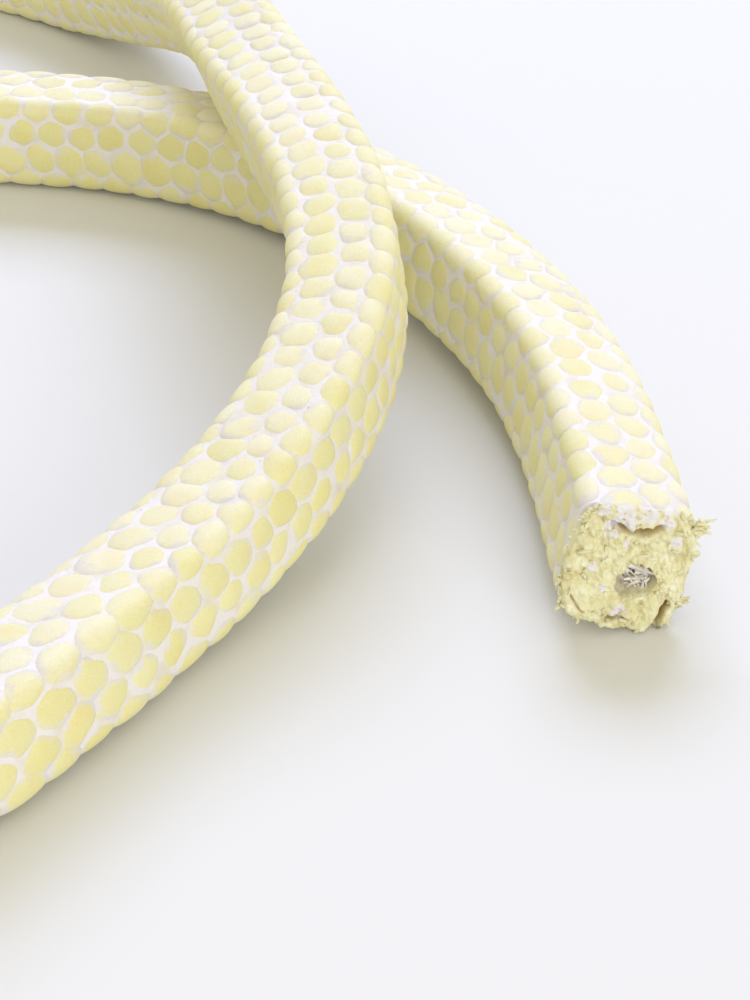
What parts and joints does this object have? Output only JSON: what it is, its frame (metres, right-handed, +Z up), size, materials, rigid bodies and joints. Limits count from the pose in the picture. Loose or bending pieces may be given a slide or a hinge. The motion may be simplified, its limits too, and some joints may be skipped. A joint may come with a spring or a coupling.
{
  "type": "braided gland packing rope",
  "caption": "Square braided packing rope for pump and valve stuffing boxes, lying in a loose loop with a hollow frayed cut end.",
  "frame": {"origin": "centre of the box around the rope, on the surface it lies on", "axes": "+Z up; +Y away from the viewer who looks at the hollow cut end, which faces -Y; +X to the right"},
  "size_m": [0.1842, 0.2486, 0.0323],
  "materials": {
    "yarn": "matt plaited pale yellow yarn with white dressing between the stitches"
  },
  "bodies": {
    "root": {"packing_rope": "yarn"}
  },
  "joints": []
}
